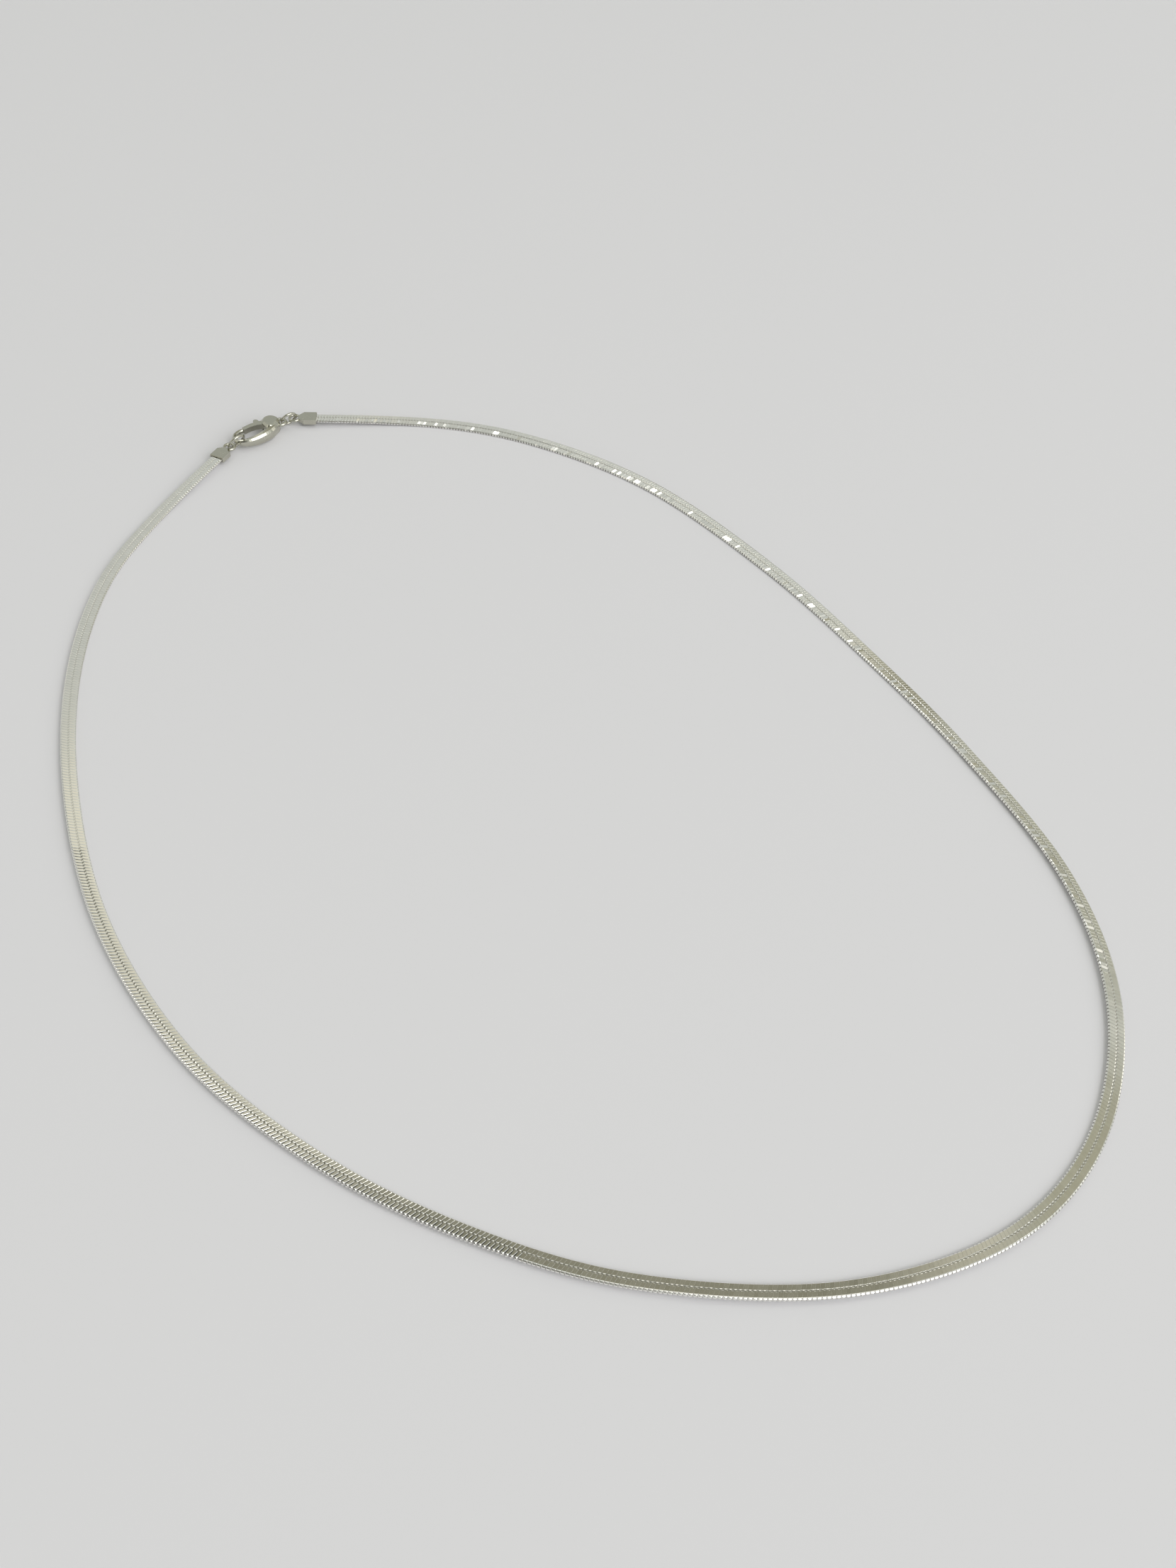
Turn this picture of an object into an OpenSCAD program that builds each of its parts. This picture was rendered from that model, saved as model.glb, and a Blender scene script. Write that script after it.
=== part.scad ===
// Flat snake chain necklace with a lobster clasp, lying closed on a table.
// Millimetres, +Z up. The origin is at the middle of the loop, on the table.

/* [Band] */
// Width of the flat chain
band_w = 2.0; // [1.6:0.05:2.2]
// Thickness of the flat chain
band_t = 0.45; // [0.35:0.05:0.55]
// Radius of the band's long edges, made by the ends of the slats
edge_r = 0.14; // [0.08:0.02:0.16]
// Width of the shallow groove where the two rows of slats meet
seam_w = 0.24; // [0.1:0.02:0.4]
// Depth of that groove
seam_deep = 0.05; // [0.02:0.01:0.08]

/* [End caps] */
// Length of a cap, without its loop
cap_l = 3.0; // [2.6:0.1:4.0]
// Wall of a cap round the band
cap_wall = 0.15; // [0.15:0.05:0.3]
// How far the band goes into a cap
cap_hold = 1.3; // [0.8:0.1:1.5]
// Width of a cap's nose, where the loop is soldered on
nose_w = 1.1; // [0.8:0.1:1.4]
// Height of the caps' middle above the table
cap_z = 1.0; // [0.9:0.05:1.1]
// Radius of a cap's loop, to the middle of its wire
loop_r = 0.85; // [0.8:0.05:0.9]

/* [Jump rings] */
// Wire thickness of the jump rings and of the caps' loops
wire_d = 0.45; // [0.35:0.05:0.45]
// Radius of the ring between cap and clasp eye, to the middle of its wire
ring_right_r = 1.3; // [1.25:0.05:1.35]
// Radius of the ring that the claw holds, to the middle of its wire
ring_left_r = 1.5; // [1.45:0.05:1.55]

/* [Clasp] */
// Wire thickness of the clasp's eye
eye_wire_d = 0.55; // [0.45:0.05:0.55]
// Radius of the clasp's eye, to the middle of its wire
eye_r = 0.875; // [0.8:0.025:0.9]
// Thickness of the clasp over its cheeks
cheek_t = 2.5; // [2.3:0.1:2.6]
// Thickness of the lever
lever_t = 0.9; // [0.7:0.1:1.0]
// Radius of the rivet that the lever turns on
rivet_r = 0.28; // [0.2:0.02:0.3]
// Direction of the clasp on the table, from its claw to its eye
clasp_turn = 46; // [40:1:50]

/* [Hidden] */

silver = [0.78, 0.78, 0.74];
bright_silver = [0.86, 0.86, 0.84];

// The band's route, clockwise from the right cap to the left one:
// x, y, lift of the outer edge in degrees
route = [
    [-46.4, 70.9,   0],
    [-25.5, 73.0,   8],
    [ -7.5, 69.5,  12],
    [ 12.0, 59.0,  14],
    [ 30.5, 40.5,  12],
    [ 44.9, 21.4,   4],
    [ 56.1,  4.1,  -6],
    [ 66.0, -15.9, -10],
    [ 68.7, -34.5, -8],
    [ 63.9, -52.2,  2],
    [ 52.6, -65.1, 12],
    [ 34.6, -72.3, 18],
    [ 13.0, -73.1, 20],
    [ -5.5, -68.9, 18],
    [-22.1, -61.7, 16],
    [-38.0, -50.5, 16],
    [-51.6, -34.1, 16],
    [-61.1, -14.5, 14],
    [-67.0,   6.0, 10],
    [-68.5,  25.0,  8],
    [-65.5,  40.5,  6],
    [-58.5,  59.0,  0],
];
// Rings of the band between two points of its route
rings_per_span = 8;

// The claw's curved bar, in the clasp's own frame with its eye towards +X:
// x, y, half width, half height
claw_bar = [
    [ 2.4, -0.7,  0.85, 1.15],
    [ 1.0, -1.5,  0.78, 1.10],
    [-1.0, -1.8,  0.70, 1.00],
    [-2.8, -1.65, 0.56, 0.80],
    [-4.15, -0.95, 0.43, 0.56],
    [-4.6,  0.1,  0.38, 0.45],
    [-4.1,  1.2,  0.38, 0.45],
    [-3.1,  1.7,  0.38, 0.45],
    [-1.9,  1.75, 0.34, 0.42],
];
rings_per_claw_span = 5;
claw_sides = 12;

// The lever's curved bar, measured from its rivet: x, y, half width
lever_bar = [
    [ 0.0, 0.0,  0.66],
    [-1.0, 0.55, 0.50],
    [-2.4, 0.85, 0.42],
    [-4.4, 0.75, 0.36],
];
steps_per_lever_span = 6;

clasp_mid_z = cheek_t/2;
// Centre of the clasp's eye on the table
eye_at = [-50.75, 68.85];
eye_x = 4.1;
rivet_at = [1.9, 0.9];
// Radius of the lever's tip about the rivet, and of the claw's end that it closes on
tip_r = 4.12;
tip_gap = 0.1;
pivot_clear = 0.06;
slot_clear = 0.1;
thumb_at = [-1.15, 1.4];
thumb_r = 0.42;

// Jump rings: centre, then the turn and the tilt of the ring's axis from upright
ring_right_at = [-49.5, 69.6, 1.52];
ring_right_turn = 129;
ring_right_tilt = 65;
ring_left_at = [-56.6, 61.92, 1.65];
ring_left_turn = 142;
ring_left_tilt = 60;

cap_gap = 0.05;
cap_w = band_w + 2*(cap_gap + cap_wall);
cap_t = band_t + 2*(cap_gap + cap_wall);
nose_l = 0.9;
// Distance of a cap's loop from the end of the band
loop_x = cap_l - cap_hold + loop_r - wire_d/3;

$fn = 48;

// Smooth curve through the rows p1 and p2 of a table, t from 0 to 1
function curve(p0, p1, p2, p3, t) =
    0.5*(2*p1 + (p2 - p0)*t + (2*p0 - 5*p1 + 4*p2 - p3)*t*t
         + (3*p1 - p0 - 3*p2 + p3)*t*t*t);

// A row of the table, mirrored past both its ends
function row(table, i) =
    i < 0 ? 2*table[0] - table[1] :
    i >= len(table) ? 2*table[len(table) - 1] - table[len(table) - 2] : table[i];

// All rows of a table, with this many steps between each two
function smooth(table, steps) = [
    for (i = [0:len(table) - 2], k = [0:steps - 1])
        curve(row(table, i - 1), table[i], table[i + 1], row(table, i + 2), k/steps),
    table[len(table) - 1]
];

// Direction of travel at row i, as a unit vector
function heading(rows, i) =
    let (a = rows[max(i - 1, 0)], b = rows[min(i + 1, len(rows) - 1)],
         d = [b.x - a.x, b.y - a.y])
    d/norm(d);

// Left-hand side of a direction
function left(d) = [-d.y, d.x];

// A closed solid through rings of points, all with the same number of sides
module skin(rings) {
    sides = len(rings[0]);
    last = len(rings) - 1;
    points = [for (ring = rings, p = ring) p];
    walls = [
        for (i = [0:last - 1], j = [0:sides - 1])
            let (k = (j + 1)%sides, a = i*sides, b = a + sides)
            each [[a + j, b + k, a + k], [a + j, b + j, b + k]]
    ];
    first_end = [for (j = [0:sides - 1]) j];
    last_end = [for (j = [sides - 1:-1:0]) last*sides + j];
    polyhedron(points, concat([first_end, last_end], walls), convexity = 6);
}

// Outline of the band's section: across, up. Rounded long edges and a groove
// along the middle of both faces
function band_half(side, face) =
    let (w = band_w/2, t = band_t/2)
    [
        [side*seam_w/2, face*t],
        [side*(w - edge_r), face*t],
        [side*w, face*(t - edge_r)],
    ];
function backwards(list) = [for (i = [len(list) - 1:-1:0]) list[i]];
band_section = concat(
    [[0, band_t/2 - seam_deep]], band_half(-1, 1), backwards(band_half(-1, -1)),
    [[0, seam_deep - band_t/2]], band_half(1, -1), backwards(band_half(1, 1))
);

// Height of the section's middle when its outer edge is lifted by this angle
function middle_height(lift) =
    -min([for (p = band_section) p.x*sin(lift) + p.y*cos(lift)]);

// Height of the band's underside above the table at ring i: it rises over the
// last span of its route at both ends, to meet the caps
function rise(rows, i) =
    let (from_end = min(i, len(rows) - 1 - i)/rings_per_span, t = max(0, 1 - from_end))
    (cap_z - band_t/2)*t*t*(3 - 2*t);

function band_ring(rows, i) =
    let (r = rows[i], out = left(heading(rows, i)), lift = r[2],
         z = rise(rows, i) + middle_height(lift))
    [
        for (p = band_section)
            let (side = p.x*cos(lift) - p.y*sin(lift))
            [r.x + out.x*side, r.y + out.y*side, z + p.x*sin(lift) + p.y*cos(lift)]
    ];

module chain() {
    rows = smooth(route, rings_per_span);
    color(silver)
        skin([for (i = [0:len(rows) - 1]) band_ring(rows, i)]);
}

// Plan of a cap: square where the band goes in, drawn in to a nose at the loop
module cap_plan() {
    w = cap_w/2;
    n = nose_w/2;
    polygon([[-cap_hold, -w], [cap_l - cap_hold - nose_l, -w], [cap_l - cap_hold, -n],
             [cap_l - cap_hold, n], [cap_l - cap_hold - nose_l, w], [-cap_hold, w]]);
}

// Side view of a cap, with slightly broken edges
module cap_profile() {
    t = cap_t/2;
    b = 0.1;
    polygon([[-cap_hold, -t + b], [-cap_hold + b, -t], [cap_l - cap_hold - nose_l, -t],
             [cap_l - cap_hold, -wire_d/2], [cap_l - cap_hold, wire_d/2],
             [cap_l - cap_hold - nose_l, t], [-cap_hold + b, t], [-cap_hold, t - b]]);
}

module wire_ring(mean_r, wire) {
    rotate_extrude() translate([mean_r, 0]) circle(d = wire);
}

// A cap with its soldered loop. The band ends at the origin and comes in from -X
module end_cap() {
    color(bright_silver) {
        difference() {
            intersection() {
                linear_extrude(cap_t, center = true) cap_plan();
                rotate([90, 0, 0]) linear_extrude(cap_w, center = true) cap_profile();
            }
            pocket_l = cap_hold + 2*cap_gap;
            translate([-cap_hold - cap_gap, -band_w/2 - cap_gap, -band_t/2 - cap_gap])
                cube([pocket_l, band_w + 2*cap_gap, band_t + 2*cap_gap]);
        }
        translate([loop_x, 0, 0]) wire_ring(loop_r, wire_d);
    }
}

// Puts a cap on the end of the band that leaves row a of the route for row b
module cap_at(a, b) {
    turn = atan2(a.y - b.y, a.x - b.x);
    translate([a.x, a.y, cap_z]) rotate([0, 0, turn]) end_cap();
}

module end_cap_right() {
    cap_at(route[0], route[1]);
}

module end_cap_left() {
    cap_at(route[len(route) - 1], route[len(route) - 2]);
}

module tilted_ring(at, turn, tilt, mean_r) {
    color(bright_silver)
        translate(at) rotate([0, tilt, turn]) wire_ring(mean_r, wire_d);
}

module jump_ring_right() {
    tilted_ring(ring_right_at, ring_right_turn, ring_right_tilt, ring_right_r);
}

module jump_ring_left() {
    tilted_ring(ring_left_at, ring_left_turn, ring_left_tilt, ring_left_r);
}

// Moves the clasp from its own frame to its place on the table
module at_clasp() {
    translate([eye_at.x, eye_at.y, clasp_mid_z]) rotate([0, 0, clasp_turn])
        translate([-eye_x, 0, 0]) children();
}

module claw() {
    rows = smooth(claw_bar, rings_per_claw_span);
    skin([
        for (i = [0:len(rows) - 1])
            let (r = rows[i], side = left(heading(rows, i)))
            [
                for (k = [0:claw_sides - 1])
                    let (a = 360*k/claw_sides, across = r[2]*cos(a))
                    [r.x + side.x*across, r.y + side.y*across, r[3]*sin(a)]
            ]
    ]);
}

// Rounded base that holds the rivet between two cheeks
module base_block() {
    edge = 0.35;
    hull() {
        for (p = [[2.3, 0.2, 1.45], [3.1, 0, 0.75], [1.5, -0.9, 0.7]]) {
            translate([p.x, p.y, 0]) cylinder(r = p.z, h = cheek_t - 2*edge, center = true);
            translate([p.x, p.y, 0]) cylinder(r = p.z - edge, h = cheek_t, center = true);
        }
    }
}

// Room between the cheeks for the lever and its swing
module lever_slot() {
    slot_t = lever_t + 2*slot_clear;
    slot_r = lever_bar[0][2] + 0.15;
    translate([rivet_at.x, rivet_at.y, 0]) cylinder(r = slot_r, h = slot_t, center = true);
    translate([rivet_at.x - 2.2, rivet_at.y - slot_r, -slot_t/2]) cube([2.2, 3, slot_t]);
}

module clasp_body() {
    color(bright_silver) at_clasp() {
        difference() {
            union() {
                claw();
                base_block();
                translate([eye_x, 0, 0]) wire_ring(eye_r, eye_wire_d);
            }
            lever_slot();
            // The claw's end follows the swing of the lever's tip
            intersection() {
                translate([rivet_at.x, rivet_at.y, 0])
                    cylinder(r = tip_r + tip_gap, h = cheek_t, center = true);
                translate([-2.6, 1.1, -cheek_t/2]) cube([1.2, 1.4, cheek_t]);
            }
            translate([eye_x, 0, 0])
                cylinder(r = eye_r - eye_wire_d/2, h = 2*cheek_t, center = true);
        }
        translate([rivet_at.x, rivet_at.y, -cheek_t/2]) cylinder(r = rivet_r, h = cheek_t);
    }
}

// The lever's curved bar seen from above
module lever_plan() {
    rows = smooth(lever_bar, steps_per_lever_span);
    sides = [
        for (i = [0:len(rows) - 1])
            let (r = rows[i], d = left(heading(rows, i))*r[2]) [r, d]
    ];
    polygon(concat(
        [for (s = sides) [s[0].x + s[1].x, s[0].y + s[1].y]],
        [for (s = backwards(sides)) [s[0].x - s[1].x, s[0].y - s[1].y]]
    ));
}

module clasp_lever() {
    color(bright_silver) at_clasp() translate([rivet_at.x, rivet_at.y, 0])
        difference() {
            union() {
                intersection() {
                    linear_extrude(lever_t, center = true) lever_plan();
                    cylinder(r = tip_r, h = lever_t, center = true);
                }
                cylinder(r = lever_bar[0][2], h = lever_t, center = true);
                translate([thumb_at.x, thumb_at.y, 0])
                    cylinder(r = thumb_r, h = lever_t, center = true);
                translate([thumb_at.x - thumb_r, 0.5, -lever_t/2])
                    cube([2*thumb_r, thumb_at.y - 0.5, lever_t]);
            }
            cylinder(r = rivet_r + pivot_clear, h = 2*lever_t, center = true);
        }
}

chain();
end_cap_right();
end_cap_left();
jump_ring_right();
jump_ring_left();
clasp_body();
clasp_lever();
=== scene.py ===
import math

import bpy
from mathutils import Matrix, Vector


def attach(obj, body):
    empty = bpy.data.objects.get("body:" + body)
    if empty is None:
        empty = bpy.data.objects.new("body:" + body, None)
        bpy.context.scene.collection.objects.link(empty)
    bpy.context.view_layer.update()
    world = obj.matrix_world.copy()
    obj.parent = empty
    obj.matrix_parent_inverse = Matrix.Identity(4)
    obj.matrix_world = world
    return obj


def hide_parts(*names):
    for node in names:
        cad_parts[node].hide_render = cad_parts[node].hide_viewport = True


bl_info = {
    "name": "Flat Snake Chain",
    "version": (1, 0, 0),
    "blender": (4, 5, 0),
    "location": "View3D > Sidebar > Snake Chain",
    "description": "Weaves a flat snake chain along its route and finishes its caps, rings and clasp",
    "category": "Add Mesh",
}

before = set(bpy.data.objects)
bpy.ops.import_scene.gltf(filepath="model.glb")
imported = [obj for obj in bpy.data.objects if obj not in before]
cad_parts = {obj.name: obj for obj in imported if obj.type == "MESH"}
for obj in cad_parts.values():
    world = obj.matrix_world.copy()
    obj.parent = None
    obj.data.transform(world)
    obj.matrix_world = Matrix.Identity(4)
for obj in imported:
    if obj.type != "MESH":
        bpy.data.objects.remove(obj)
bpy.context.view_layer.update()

MM = 0.001
BODY = "necklace"
FITTINGS = ("end_cap_right", "end_cap_left", "jump_ring_right", "jump_ring_left",
            "clasp_body", "clasp_lever")

# The band's route, clockwise from the right cap to the left one, the same as in the part's
# source: x and y in metres, and the lift of the outer edge in degrees
ROUTE = [
    (-0.0464, 0.0709, 0),
    (-0.0255, 0.0730, 8),
    (-0.0075, 0.0695, 12),
    (0.0120, 0.0590, 14),
    (0.0305, 0.0405, 12),
    (0.0449, 0.0214, 4),
    (0.0561, 0.0041, -6),
    (0.0660, -0.0159, -10),
    (0.0687, -0.0345, -8),
    (0.0639, -0.0522, 2),
    (0.0526, -0.0651, 12),
    (0.0346, -0.0723, 18),
    (0.0130, -0.0731, 20),
    (-0.0055, -0.0689, 18),
    (-0.0221, -0.0617, 16),
    (-0.0380, -0.0505, 16),
    (-0.0516, -0.0341, 16),
    (-0.0611, -0.0145, 14),
    (-0.0670, 0.0060, 10),
    (-0.0685, 0.0250, 8),
    (-0.0655, 0.0405, 6),
    (-0.0585, 0.0590, 0),
]
# Height of the band's middle in the caps, in metres
CAP_Z = 0.0010
# Straight steps that the bent route takes from one point to the next
ROUTE_STEPS = 24

# One half of a link, from its tooth at the band's edge to the seam. Columns: distance across
# the band and shift along it, as shares of half the band's width, and the link's width and
# height there, as shares of a full slat's
HALF_LINK = [
    (1.00, 0.19, 0.56, 0.36),
    (0.97, 0.18, 0.66, 0.58),
    (0.92, 0.16, 0.74, 0.81),
    (0.83, 0.13, 0.80, 0.95),
    (0.81, 0.13, 1.00, 1.00),
    (0.13, -0.08, 1.00, 1.00),
    (0.129, -0.08, 0.58, 1.00),
    (0.05, -0.08, 0.46, 0.83),
]
# The folded metal that shows between the links in the seam: its reach to each side of the
# middle, as a share of half the band's width, and its height as a share of a full slat's
SEAM_FLOOR = (0.14, 0.82)
# An open slat narrows like a finger from the seam to this share of half the band's width
FINGER_END = 0.9

# Stretches of the weave from the right cap on. Columns: name, share of the route where it
# ends, share of the full slope, how much the outer slats narrow, share of the inner slats
# that lie askew, painted shade between the slats, painted shade in the seam
STRETCHES = [
    ("chain_weave_right", 0.40, 0.35, 0.0, 0.45, 0.0, 0.5),
    ("chain_weave_front", 0.615, 0.25, 0.0, 0.0, 0.0, 0.5),
    ("chain_weave_left", 0.80, 1.0, 0.48, 0.0, 0.9, 0.5),
    ("chain_weave_clasp_side", 1.0, 1.0, 0.10, 0.0, 0.15, 0.25),
]
# Edges of the slats that are sharper than this, in degrees, stay crisp
CREASE_ANGLE = 20


class ChainSizes(bpy.types.PropertyGroup):
    """Sizes of the weave"""

    band_width: bpy.props.FloatProperty(
        name="Band width", description="Width of the flat chain", default=2.0 * MM, unit="LENGTH")
    band_thickness: bpy.props.FloatProperty(
        name="Band thickness", description="Thickness of the flat chain", default=0.45 * MM,
        unit="LENGTH")
    pitch: bpy.props.FloatProperty(
        name="Slat spacing", description="Distance from one slat to the next along the band",
        default=0.49 * MM, unit="LENGTH")
    slat_gap: bpy.props.FloatProperty(
        name="Slat gap", description="Gap between two slats of a row", default=0.01 * MM,
        unit="LENGTH")
    slope_width: bpy.props.FloatProperty(
        name="Slope width", description="Part of an open slat that tucks under the one before",
        default=0.10 * MM, unit="LENGTH")
    slope_drop: bpy.props.FloatProperty(
        name="Slope drop", description="How far that part goes down", default=0.0445 * MM,
        unit="LENGTH")
    end_room: bpy.props.FloatProperty(
        name="End room", description="Length without slats at both ends, inside the caps",
        default=0.6 * MM, unit="LENGTH")


class ChainColours(bpy.types.PropertyGroup):
    """Colours of the metal, of the shade painted on it and of the table"""

    silver: bpy.props.FloatVectorProperty(
        name="Silver", description="Colour of the clean metal", default=(0.93, 0.92, 0.88),
        subtype="COLOR", size=3, min=0, max=1)
    # The fittings' colour is far darker than the chain's silver: painted shade for the dark
    # surroundings that the caps, rings and clasp reflect
    fittings: bpy.props.FloatVectorProperty(
        name="Fittings", description="Colour of the caps, rings and clasp",
        default=(0.52, 0.51, 0.44), subtype="COLOR", size=3, min=0, max=1)
    # Painted shade: a dark colour laid where shade falls, in the grooves, the gaps between slats and
    # teeth and the seam's pits; the metal there is the same silver
    painted_shade: bpy.props.FloatVectorProperty(
        name="Tarnish", description="Colour of the metal in grooves and the seam",
        default=(0.20, 0.19, 0.15), subtype="COLOR", size=3, min=0, max=1)
    table: bpy.props.FloatVectorProperty(
        name="Table", description="Colour of the table that the chain lies on",
        default=(0.80, 0.79, 0.82), subtype="COLOR", size=3, min=0, max=1)


def sizes():
    return bpy.context.scene.snake_chain_sizes


def colours():
    return bpy.context.scene.snake_chain_colours


def half_band():
    """Half the band's width, from the seam to an edge."""
    return sizes().band_width / 2


def deselect_all():
    if bpy.context.object and bpy.context.object.mode != "OBJECT":
        bpy.ops.object.mode_set(mode="OBJECT")
    bpy.ops.object.select_all(action="DESELECT")


def make_active(piece):
    deselect_all()
    piece.select_set(True)
    bpy.context.view_layer.objects.active = piece


# Route

def middle_height(lift_degrees):
    """Height of the band's middle above the table when its outer edge is lifted."""
    lift = math.radians(abs(lift_degrees))
    half_t = sizes().band_thickness / 2
    return max(across * half_band() * math.sin(lift) + high * half_t * math.cos(lift)
               for across, shift, wide, high in HALF_LINK)


def route_points():
    """The route in space, with its ends raised to the caps."""
    points = [Vector((x, y, middle_height(lift))) for x, y, lift in ROUTE]
    points[0].z = points[-1].z = CAP_Z
    return points


def make_route():
    """A smooth curve through the route's points, tilted as the band lies."""
    deselect_all()
    bpy.ops.curve.primitive_bezier_curve_add()
    route = bpy.context.object
    route.location = (0, 0, 0)
    route.data.dimensions = "3D"
    route.data.twist_mode = "Z_UP"
    route.data.resolution_u = ROUTE_STEPS
    spline = route.data.splines[0]
    spline.tilt_interpolation = "CARDINAL"
    points = route_points()
    spline.bezier_points.add(len(points) - len(spline.bezier_points))
    last = len(points) - 1
    for i, point in enumerate(spline.bezier_points):
        # A handle is a sixth of the way between the points before and after
        before = points[i - 1] if i > 0 else 2 * points[0] - points[1]
        after = points[i + 1] if i < last else 2 * points[last] - points[last - 1]
        reach = (after - before) / 6
        # The band leaves the caps level and comes down to the table within one step
        if min(i, last - i) < 2:
            reach.z = 0
        point.handle_left_type = point.handle_right_type = "FREE"
        point.co = points[i]
        point.handle_left = points[i] - reach
        point.handle_right = points[i] + reach
        point.tilt = math.radians(ROUTE[i][2])
    return route


def curve_length(route):
    return sum(spline.calc_length() for spline in route.data.splines)


# Nodes of a material or of the room

def feed(tree, socket, value):
    """Gives a socket another node's output, or a number, vector or colour."""
    if isinstance(value, bpy.types.NodeSocket):
        tree.links.new(value, socket)
    else:
        socket.default_value = value


def math_node(tree, operation, *inputs):
    """A math node fed by sockets or numbers; returns its output."""
    node = tree.nodes.new("ShaderNodeMath")
    node.operation = operation
    for socket, value in zip(node.inputs, inputs):
        feed(tree, socket, value)
    return node.outputs[0]


def vector_node(tree, operation, first, second=None):
    """A vector math node; returns the node."""
    node = tree.nodes.new("ShaderNodeVectorMath")
    node.operation = operation
    feed(tree, node.inputs[0], first)
    if second is not None:
        feed(tree, node.inputs[1], second)
    return node


def range_node(tree, value, span, low, high):
    """Goes smoothly from low to high as the value crosses the span; returns the output."""
    node = tree.nodes.new("ShaderNodeMapRange")
    node.interpolation_type = "SMOOTHSTEP"
    tree.links.new(value, node.inputs["Value"])
    node.inputs["From Min"].default_value, node.inputs["From Max"].default_value = span
    node.inputs["To Min"].default_value = low
    node.inputs["To Max"].default_value = high
    return node.outputs["Result"]


def mix_colours(tree, share, first, second):
    """Mixes two colours by a share of the second; returns the output."""
    node = tree.nodes.new("ShaderNodeMix")
    node.data_type = "RGBA"
    tree.links.new(share, node.inputs["Factor"])
    feed(tree, node.inputs["A"], first)
    feed(tree, node.inputs["B"], second)
    return node.outputs["Result"]


def rgba(colour):
    return (colour[0], colour[1], colour[2], 1.0)


def paler(colour, factor):
    return tuple(min(1.0, c * factor) for c in colour)


# Metals

# Where the painted shade begins and is full, along the band: distance from the slat's middle,
# as a share of the slat spacing
GAPS_ALONG = (0.28, 0.38)
LINES_ALONG = (0.34, 0.42)
SEAM_PITS_ALONG = (0.14, 0.24)
# The same across the band, as shares of half its width, negative on the inner row
TEETH_ACROSS = (0.86, 0.90)
FINGERS_ACROSS = (0.25, 0.75)
LINES_ACROSS = (-0.8, -0.3)
# Where the painted shade of the seam is full and where it ends, in the same measure
SEAM_ACROSS = (0.06, 0.16)
# How dark the painted shade is between the teeth
TEETH_PAINTED_SHADE = 0.7
# The normal of a slat that lies askew leans, along x and y, by between these amounts. Slats
# are told apart by a random number, with a soft step of this size
LEANS = {"X": (-0.35, 0.15), "Y": (-0.225, 0.04)}
ASKEW_STEP = 0.01
# Roughness from slat to slat, what full painted shade adds to it, and how much paler a slat can be
SLAT_ROUGHNESS = (0.17, 0.20)
PAINTED_SHADE_ROUGHNESS = 0.25
SLAT_VARIATION = 1.04
# Fine wear on the fittings: size and detail of its noise, the part of the noise that counts,
# the roughness that it gives and how much paler it makes the metal
WEAR_SCALE = 900
WEAR_DETAIL = 4
WEAR_SPAN = (0.3, 0.7)
WEAR_ROUGHNESS = (0.14, 0.28)
WEAR_VARIATION = 1.15


def new_metal(name):
    """A metal; returns the material, its node tree and its shader."""
    material = bpy.data.materials.new(name)
    material.use_nodes = True
    shader = material.node_tree.nodes["Principled BSDF"]
    shader.inputs["Metallic"].default_value = 1.0
    return material, material.node_tree, shader


def slat_numbers(tree, along, across):
    """Random numbers of a slat's own, by its link and row; returns the noise node."""
    slat = tree.nodes.new("ShaderNodeCombineXYZ")
    tree.links.new(math_node(tree, "FLOOR", along), slat.inputs["X"])
    tree.links.new(math_node(tree, "SIGN", across), slat.inputs["Y"])
    random = tree.nodes.new("ShaderNodeTexWhiteNoise")
    random.noise_dimensions = "2D"
    tree.links.new(slat.outputs["Vector"], random.inputs["Vector"])
    return random


def askew_normal(tree, random, across, askew_share):
    """The surface's normal, which leans on those inner slats that lie askew and sparkle."""
    numbers = tree.nodes.new("ShaderNodeSeparateColor")
    tree.links.new(random.outputs["Color"], numbers.inputs["Color"])
    span = (1 - askew_share, 1 + ASKEW_STEP - askew_share)
    askew = range_node(tree, numbers.outputs["Green"], span, 0, 1)
    askew = math_node(tree, "MULTIPLY", askew, math_node(tree, "LESS_THAN", across, 0.0))
    lean = tree.nodes.new("ShaderNodeCombineXYZ")
    for axis, (least, most) in LEANS.items():
        amount = math_node(tree, "MULTIPLY_ADD", numbers.outputs["Blue"], most - least, least)
        tree.links.new(math_node(tree, "MULTIPLY", askew, amount), lean.inputs[axis])
    normal = tree.nodes.new("ShaderNodeNewGeometry").outputs["Normal"]
    leaning = vector_node(tree, "ADD", normal, lean.outputs["Vector"])
    return vector_node(tree, "NORMALIZE", leaning.outputs["Vector"]).outputs["Vector"]


def painted_shade_share(tree, along, across, slat_painted_shade, seam_painted_shade):
    """Painted shade between the teeth, between open slats and in the pits of the seam, where shade
    falls.
    """
    place = math_node(tree, "FRACT", along)
    from_middle = math_node(tree, "ABSOLUTE", math_node(tree, "SUBTRACT", place, 0.5))
    from_seam = math_node(tree, "ABSOLUTE", across)
    at_teeth = range_node(tree, from_seam, TEETH_ACROSS, 0, TEETH_PAINTED_SHADE)
    at_fingers = range_node(tree, across, FINGERS_ACROSS, 0, slat_painted_shade)
    gaps = math_node(tree, "MULTIPLY", range_node(tree, from_middle, GAPS_ALONG, 0, 1),
                     math_node(tree, "MAXIMUM", at_teeth, at_fingers))
    lines = math_node(tree, "MULTIPLY", range_node(tree, from_middle, LINES_ALONG, 0, 1),
                      range_node(tree, across, LINES_ACROSS, 0, slat_painted_shade))
    seam = math_node(tree, "MULTIPLY", range_node(tree, from_middle, SEAM_PITS_ALONG, 0, 1),
                     range_node(tree, from_seam, SEAM_ACROSS, seam_painted_shade, 0))
    return math_node(tree, "MAXIMUM", gaps, math_node(tree, "MAXIMUM", lines, seam))


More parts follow.
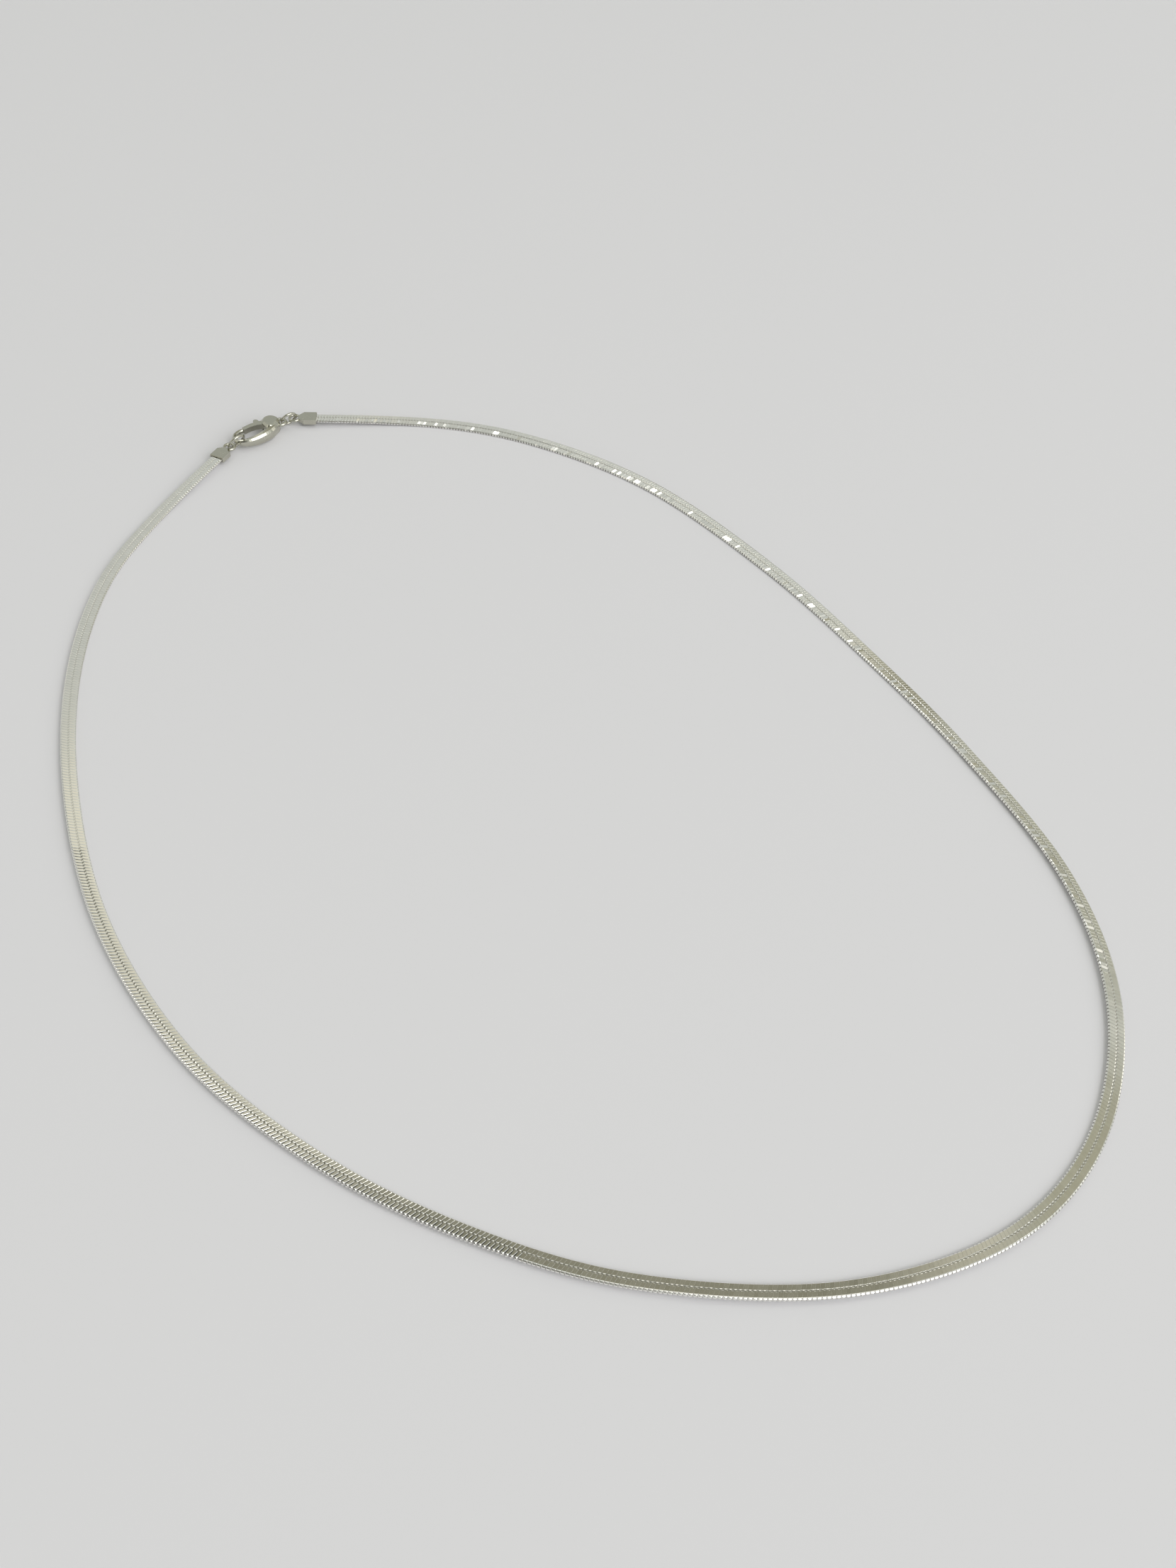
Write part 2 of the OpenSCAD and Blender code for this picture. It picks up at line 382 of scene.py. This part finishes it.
def woven_silver(askew_share, slat_painted_shade, seam_painted_shade):
    """Silver of the slats: each one a little different, with painted shade in grooves and the seam.
    """
    material, tree, shader = new_metal("woven_silver")
    chart = tree.nodes.new("ShaderNodeUVMap")
    chart.uv_map = "weave"
    split = tree.nodes.new("ShaderNodeSeparateXYZ")
    tree.links.new(chart.outputs["UV"], split.inputs["Vector"])
    along, across = split.outputs["X"], split.outputs["Y"]
    random = slat_numbers(tree, along, across)
    tree.links.new(askew_normal(tree, random, across, askew_share), shader.inputs["Normal"])
    # Painted shade in the grooves, the gaps and the seam's pits
    dark = painted_shade_share(tree, along, across, slat_painted_shade, seam_painted_shade)
    silver = rgba(colours().silver)
    unshaded = mix_colours(tree, random.outputs["Value"], silver, paler(silver, SLAT_VARIATION))
    tree.links.new(mix_colours(tree, dark, unshaded, rgba(colours().painted_shade)),
                   shader.inputs["Base Color"])
    rough = range_node(tree, random.outputs["Value"], (0, 1), *SLAT_ROUGHNESS)
    dark_rough = math_node(tree, "MULTIPLY", dark, PAINTED_SHADE_ROUGHNESS)
    tree.links.new(math_node(tree, "ADD", rough, dark_rough), shader.inputs["Roughness"])
    return material


def polished_silver():
    """Silver of caps, rings and clasp: polished, with fine wear, and darkened as painted shade for
    the dark surroundings that they reflect.
    """
    material, tree, shader = new_metal("polished_silver")
    place = tree.nodes.new("ShaderNodeTexCoord")
    wear = tree.nodes.new("ShaderNodeTexNoise")
    wear.inputs["Scale"].default_value = WEAR_SCALE
    wear.inputs["Detail"].default_value = WEAR_DETAIL
    tree.links.new(place.outputs["Object"], wear.inputs["Vector"])
    silver = rgba(colours().fittings)
    tree.links.new(mix_colours(tree, wear.outputs["Fac"], silver, paler(silver, WEAR_VARIATION)),
                   shader.inputs["Base Color"])
    tree.links.new(range_node(tree, wear.outputs["Fac"], WEAR_SPAN, *WEAR_ROUGHNESS),
                   shader.inputs["Roughness"])
    return material


# Weave

def link_sections(narrowing):
    """Sections of a link from edge to edge; the outer row's slats narrow like fingers."""
    inner = [(-across, -shift, wide, high) for across, shift, wide, high in HALF_LINK]
    outer = [(across, shift, wide * (1 - narrowing * min(across, FINGER_END)), high)
             for across, shift, wide, high in HALF_LINK[::-1]]
    return inner + outer


def select_points(piece, wanted):
    """In edit mode, selects the points of the piece whose place is wanted."""
    bpy.ops.mesh.select_all(action="DESELECT")
    bpy.ops.mesh.select_mode(type="VERT")
    bpy.ops.object.mode_set(mode="OBJECT")
    for vertex in piece.data.vertices:
        vertex.select = wanted(vertex.co)
    bpy.ops.object.mode_set(mode="EDIT")


def shape_link(slope, narrowing):
    """One link of the weave, made at the route's start; slope is a share of the full slope."""
    s = sizes()
    slope_width = slope * s.slope_width
    slope_drop = slope * s.slope_drop
    width = s.pitch - s.slat_gap
    deselect_all()
    bpy.ops.mesh.primitive_plane_add(size=1, rotation=(math.pi / 2, 0, 0))
    link = bpy.context.object
    link.scale = (width, s.band_thickness, 1)
    bpy.ops.object.transform_apply(location=False, rotation=True, scale=True)
    bpy.ops.object.mode_set(mode="EDIT")
    # The side towards the slat before slopes down
    select_points(link, lambda p: p.x < 0 and p.z > 0)
    bpy.ops.mesh.bevel(offset=slope_drop, segments=1, affect="VERTICES")
    select_points(link, lambda p: -width / 2 + slope_drop / 2 < p.x < 0 and p.z > 0)
    bpy.ops.transform.translate(value=(slope_width - slope_drop, 0, 0))
    # The section is lofted across the band
    bpy.ops.mesh.select_all(action="SELECT")
    first, *others = link_sections(narrowing)
    across, shift, wide, high = first
    place = (shift * half_band(), across * half_band(), 0)
    bpy.ops.transform.translate(value=place)
    bpy.ops.transform.resize(value=(wide, 1, high), center_override=place)
    for next_across, next_shift, next_wide, next_high in others:
        step = ((next_shift - shift) * half_band(), (next_across - across) * half_band(), 0)
        place = (next_shift * half_band(), next_across * half_band(), 0)
        bpy.ops.mesh.extrude_region_move(TRANSFORM_OT_translate={"value": step})
        bpy.ops.transform.resize(value=(next_wide / wide, 1, next_high / high),
                                 center_override=place)
        across, shift, wide, high = next_across, next_shift, next_wide, next_high
    floor_reach, floor_height = SEAM_FLOOR
    bpy.ops.mesh.primitive_cube_add(size=1, scale=(
        s.pitch, floor_reach * s.band_width, floor_height * s.band_thickness))
    bpy.ops.mesh.select_all(action="SELECT")
    bpy.ops.mesh.normals_make_consistent(inside=False)
    bpy.ops.object.mode_set(mode="OBJECT")
    chart_link(link)
    return link


def shift_at(across):
    """Shift along the band at a distance across it, both as shares of half the band's width."""
    places = [(place, shift) for place, shift, wide, high in link_sections(0)]
    for (low, low_shift), (high, high_shift) in zip(places, places[1:]):
        if across <= high:
            share = (across - low) / (high - low)
            return low_shift + share * (high_shift - low_shift)
    return high_shift


def chart_link(link):
    """Map for the metal: place in the link along the band, 0.5 in its middle, and share of half
    the band's width across it."""
    chart = link.data.uv_layers.get("UVMap") or link.data.uv_layers.new()
    chart.name = "weave"
    for loop in link.data.loops:
        p = link.data.vertices[loop.vertex_index].co
        across = p.y / half_band()
        along = (p.x - shift_at(across) * half_band()) / sizes().pitch + 0.5
        chart.data[loop.index].uv = (along, across)


def repeat_link(link, count):
    """Repeats the link along its row, with the next number for each in its map."""
    bpy.ops.object.modifier_add(type="ARRAY")
    row = link.modifiers[-1]
    row.count = count
    row.use_relative_offset = False
    row.use_constant_offset = True
    row.constant_offset_displace = (sizes().pitch, 0, 0)
    row.offset_u = 1.0
    bpy.ops.object.modifier_apply(modifier=row.name)


def lay_along(piece, route):
    """Bends the straight piece along the route."""
    bpy.ops.object.modifier_add(type="CURVE")
    bend = piece.modifiers[-1]
    bend.object = route
    bend.deform_axis = "POS_X"
    bpy.ops.object.modifier_apply(modifier=bend.name)


def weave_stretch(name, route, start, count, slope, narrowing, material):
    """A stretch of so many links from a length along the route."""
    weave = shape_link(slope, narrowing)
    weave.location.x = start
    make_active(weave)
    bpy.ops.object.transform_apply(location=True)
    repeat_link(weave, count)
    lay_along(weave, route)
    bpy.ops.object.transform_apply(location=True, rotation=True, scale=True)
    bpy.ops.object.shade_smooth_by_angle(angle=math.radians(CREASE_ANGLE))
    weave.name = name
    weave.data.name = name
    weave.data.materials.clear()
    weave.data.materials.append(material)
    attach(weave, BODY)
    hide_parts("chain")


class SNAKE_OT_weave(bpy.types.Operator):
    """Weaves the chain's two rows of slats along the route"""

    bl_idname = "snake.weave"
    bl_label = "Weave the chain"

    def execute(self, context):
        s = sizes()
        route = make_route()
        length = curve_length(route)
        count = int((length - 2 * s.end_room) / s.pitch)
        first = (length - (count - 1) * s.pitch) / 2
        begin = 0
        for name, share, slope, narrowing, askew_share, slat_painted_shade, seam_painted_shade in STRETCHES:
            end = round(count * share)
            weave_stretch(name, route, first + begin * s.pitch, end - begin, slope, narrowing,
                          woven_silver(askew_share, slat_painted_shade, seam_painted_shade))
            begin = end
        bpy.data.objects.remove(route)
        return {"FINISHED"}


class SNAKE_OT_fittings(bpy.types.Operator):
    """Gives the caps, rings and clasp their polished silver, darkened with painted shade"""

    bl_idname = "snake.fittings"
    bl_label = "Finish the fittings"

    def execute(self, context):
        material = polished_silver()
        for name in FITTINGS:
            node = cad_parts[name]
            node.data.materials.clear()
            node.data.materials.append(material)
        return {"FINISHED"}


# Stage

# The camera: its place and the nearest that it sees in metres, how far it looks down and rolls
# in degrees, the focal length and height of its image in pixels, and its sensor in millimetres
CAMERA_AT = (0.00489, -0.1294, 0.1370)
CAMERA_NEAR = 0.01
CAMERA_DOWN = 48.1
CAMERA_ROLL = 4.0
FOCAL_PIXELS = 1965
IMAGE_HEIGHT = 2212
SENSOR = 36.0

# The key light: azimuth and elevation in degrees, distance and size in metres, power in watts
KEY_LIGHT = (124, 37, 3.0, 2.4, 52.0)
# The table: its size in metres, and how rough and shiny it is
TABLE_SIZE = 6
TABLE_ROUGHNESS = 0.9
TABLE_SPECULAR = 0.1

# The room around the table. Columns: azimuth, elevation, inner and outer size in degrees, colour
ROOM_PATCHES = [
    (26, 52, 8, 16, (0.36, 0.35, 0.26)),
    (38, 34, 7, 15, (0.38, 0.38, 0.31)),
    (13, 37, 5, 10, (0.22, 0.21, 0.15)),
    (42, 15, 8, 12, (0.33, 0.32, 0.24)),
    (5, 27, 8, 11, (0.23, 0.22, 0.16)),
    (4, 33, 3, 5, (0.13, 0.13, 0.09)),
    (0, 42, 4, 8, (0.82, 0.79, 0.66)),
    (347, 45, 5, 8, (0.51, 0.52, 0.49)),
    (63, 46, 6, 9, (1.90, 1.87, 1.72)),
    (69, 16, 6, 9, (1.60, 1.57, 1.45)),
    (40, 76, 8, 11, (1.02, 1.00, 0.92)),
    (312, 60, 6, 9, (2.10, 2.10, 2.05)),
    (262, 35, 10, 22, (0.95, 0.93, 0.82)),
    (208, 45, 20, 34, (0.17, 0.17, 0.15)),
]
ROOM_COLOUR = (0.53, 0.55, 0.52)


def towards(azimuth, elevation):
    """A direction: azimuth 0 is away from the camera, 90 to its right."""
    a, e = math.radians(azimuth), math.radians(elevation)
    return Vector((math.sin(a) * math.cos(e), math.cos(a) * math.cos(e), math.sin(e)))


def soft_patch(tree, direction, azimuth, elevation, inner, outer):
    """1 within an angle of the inner size round a direction, 0 past the outer one."""
    nearness = vector_node(tree, "DOT_PRODUCT", direction, towards(azimuth, elevation))
    span = (math.cos(math.radians(outer)), math.cos(math.radians(inner)))
    return range_node(tree, nearness.outputs["Value"], span, 0, 1)


def make_studio():
    """The room's soft light: an even tone with soft lighter and darker patches."""
    world = bpy.data.worlds.new("studio")
    bpy.context.scene.world = world
    world.use_nodes = True
    tree = world.node_tree
    direction = tree.nodes.new("ShaderNodeTexCoord").outputs["Generated"]
    shade = rgba(ROOM_COLOUR)
    for azimuth, elevation, inner, outer, colour in ROOM_PATCHES:
        patch = soft_patch(tree, direction, azimuth, elevation, inner, outer)
        shade = mix_colours(tree, patch, shade, rgba(colour))
    background = tree.nodes["Background"]
    tree.links.new(shade, background.inputs["Color"])
    background.inputs["Strength"].default_value = 1.0


def soft_light(name, azimuth, elevation, distance, size, power):
    """A square soft light that looks at the loop's middle."""
    deselect_all()
    at = towards(azimuth, elevation) * distance
    bpy.ops.object.light_add(type="AREA", location=at)
    light = bpy.context.object
    light.name = name
    light.rotation_euler = (-at).to_track_quat("-Z", "Y").to_euler()
    light.data.size = size
    light.data.energy = power


def make_table():
    deselect_all()
    bpy.ops.mesh.primitive_plane_add(size=TABLE_SIZE)
    table = bpy.context.object
    table.name = "table"
    material = bpy.data.materials.new("table")
    material.use_nodes = True
    shader = material.node_tree.nodes["Principled BSDF"]
    shader.inputs["Base Color"].default_value = rgba(colours().table)
    shader.inputs["Roughness"].default_value = TABLE_ROUGHNESS
    shader.inputs["Specular IOR Level"].default_value = TABLE_SPECULAR
    table.data.materials.append(material)


def make_camera():
    deselect_all()
    turn = Matrix.Rotation(math.radians(90 - CAMERA_DOWN), 4, "X")
    turn = turn @ Matrix.Rotation(math.radians(CAMERA_ROLL), 4, "Z")
    bpy.ops.object.camera_add(location=CAMERA_AT, rotation=turn.to_euler())
    camera = bpy.context.object
    camera.name = "camera"
    camera.data.sensor_width = SENSOR
    camera.data.lens = FOCAL_PIXELS * SENSOR / IMAGE_HEIGHT
    camera.data.clip_start = CAMERA_NEAR
    bpy.context.scene.camera = camera


class SNAKE_OT_stage(bpy.types.Operator):
    """Makes the table, the soft light and the camera"""

    bl_idname = "snake.stage"
    bl_label = "Set the stage"

    def execute(self, context):
        make_table()
        make_studio()
        soft_light("key_light", *KEY_LIGHT)
        make_camera()
        context.scene.view_settings.view_transform = "Standard"
        return {"FINISHED"}


class SNAKE_PT_panel(bpy.types.Panel):
    """Sizes, colours and steps of the snake chain"""

    bl_idname = "SNAKE_PT_panel"
    bl_label = "Snake Chain"
    bl_space_type = "VIEW_3D"
    bl_region_type = "UI"
    bl_category = "Snake Chain"

    def draw(self, context):
        layout = self.layout
        for group in (context.scene.snake_chain_sizes, context.scene.snake_chain_colours):
            for name in group.__annotations__:
                layout.prop(group, name)
        layout.operator("snake.stage")
        layout.operator("snake.weave")
        layout.operator("snake.fittings")


CLASSES = (ChainSizes, ChainColours, SNAKE_OT_weave, SNAKE_OT_fittings, SNAKE_OT_stage,
           SNAKE_PT_panel)


def register():
    for cls in CLASSES:
        bpy.utils.register_class(cls)
    bpy.types.Scene.snake_chain_sizes = bpy.props.PointerProperty(type=ChainSizes)
    bpy.types.Scene.snake_chain_colours = bpy.props.PointerProperty(type=ChainColours)


def unregister():
    del bpy.types.Scene.snake_chain_colours
    del bpy.types.Scene.snake_chain_sizes
    for cls in reversed(CLASSES):
        bpy.utils.unregister_class(cls)


def main():
    register()
    bpy.ops.snake.stage()
    bpy.ops.snake.weave()
    bpy.ops.snake.fittings()


if __name__ == "__main__":
    main()
